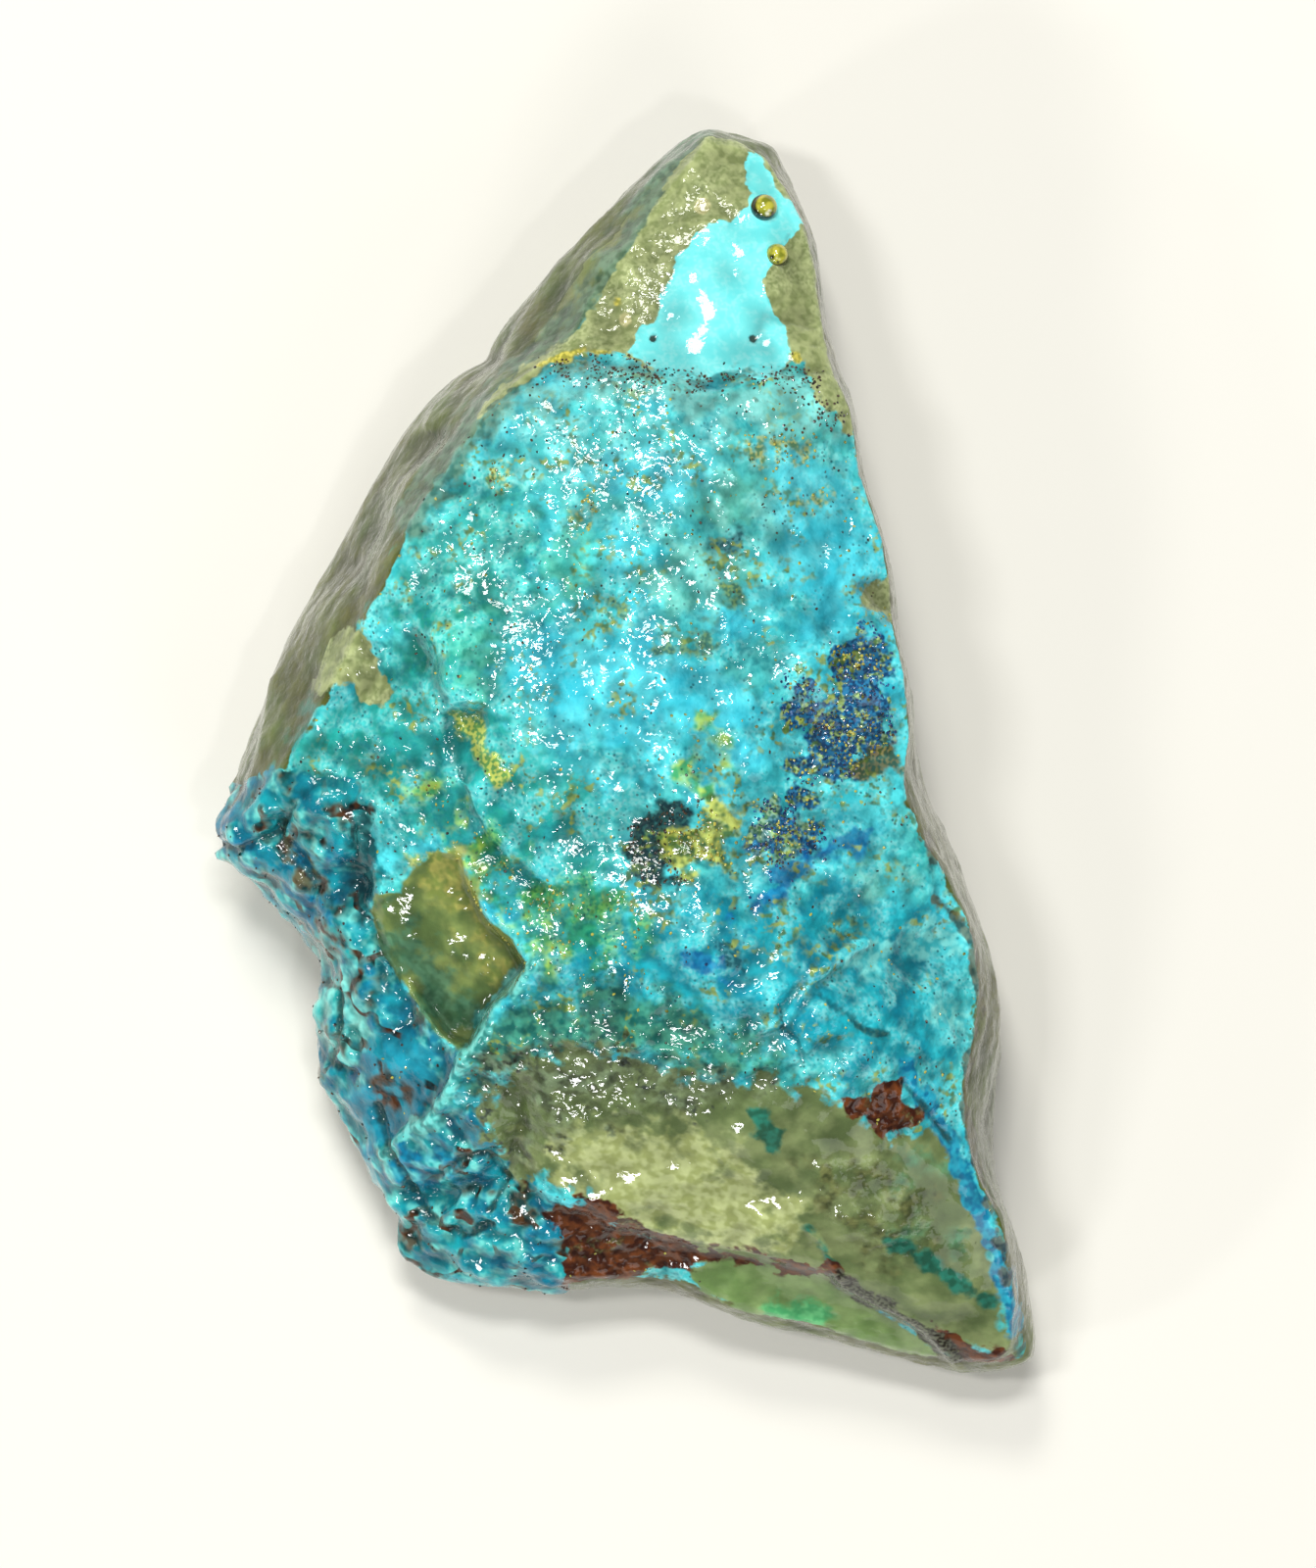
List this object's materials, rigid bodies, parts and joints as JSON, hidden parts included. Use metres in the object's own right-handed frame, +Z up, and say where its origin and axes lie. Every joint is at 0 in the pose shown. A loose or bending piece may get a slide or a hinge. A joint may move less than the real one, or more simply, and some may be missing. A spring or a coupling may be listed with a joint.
{
  "type": "chrysocolla specimen",
  "caption": "Broken wedge of olive rock with a blue-green chrysocolla crust on one face, lying on its back, for display or study.",
  "frame": {"origin": "on the surface that the stone rests on, under the middle of its bounding box", "axes": "+Z up out of the crusted face, +Y along the stone's length towards its pointed end, +X to the right of the crusted face"},
  "size_m": [0.0456, 0.0688, 0.0193],
  "materials": {
    "chrysocolla_rock": "wet gloss over a blue-green mineral crust with olive, yellow, deep blue and iron-red patches"
  },
  "bodies": {
    "root": {"chrysocolla_stone": "chrysocolla_rock"}
  },
  "joints": []
}
